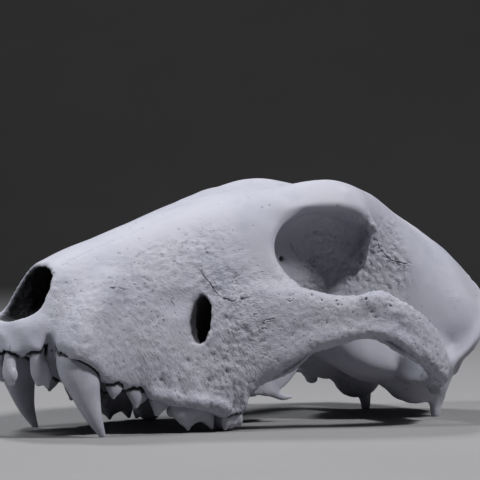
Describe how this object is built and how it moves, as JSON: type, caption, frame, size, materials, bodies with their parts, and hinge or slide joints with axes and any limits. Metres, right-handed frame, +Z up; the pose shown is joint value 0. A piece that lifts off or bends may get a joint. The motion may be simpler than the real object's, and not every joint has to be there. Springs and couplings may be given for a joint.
{
  "type": "dog skull",
  "caption": "Skull of a bull terrier without its lower jaw: long down-curved face, open cheek arches and eye sockets, upper teeth standing in their sockets.",
  "frame": {"origin": "under the middle of the skull's bounding box, on the plane it rests on (the tips of the canines and of the two processes behind the ears)", "axes": "-X forwards, towards the nose; +Y the animal's right side; +Z up, with the skull standing on its canines and paracondylar processes"},
  "size_m": [0.2087, 0.1159, 0.0888],
  "materials": {
    "bone": "dry bone, matte, finely pitted and striated, cool grey",
    "enamel": "smooth grey tooth enamel, soft sheen"
  },
  "bodies": {
    "root": {"cranium": "bone", "incisor_1_left": "enamel", "incisor_1_right": "enamel", "incisor_2_left": "enamel", "incisor_2_right": "enamel", "incisor_3_left": "enamel", "incisor_3_right": "enamel", "canine_left": "enamel", "canine_right": "enamel", "premolar_1_left": "enamel", "premolar_1_right": "enamel", "premolar_2_left": "enamel", "premolar_2_right": "enamel", "premolar_3_left": "enamel", "premolar_3_right": "enamel", "premolar_4_left": "enamel", "premolar_4_right": "enamel", "molar_1_left": "enamel", "molar_1_right": "enamel", "molar_2_left": "enamel", "molar_2_right": "enamel"}
  },
  "joints": []
}
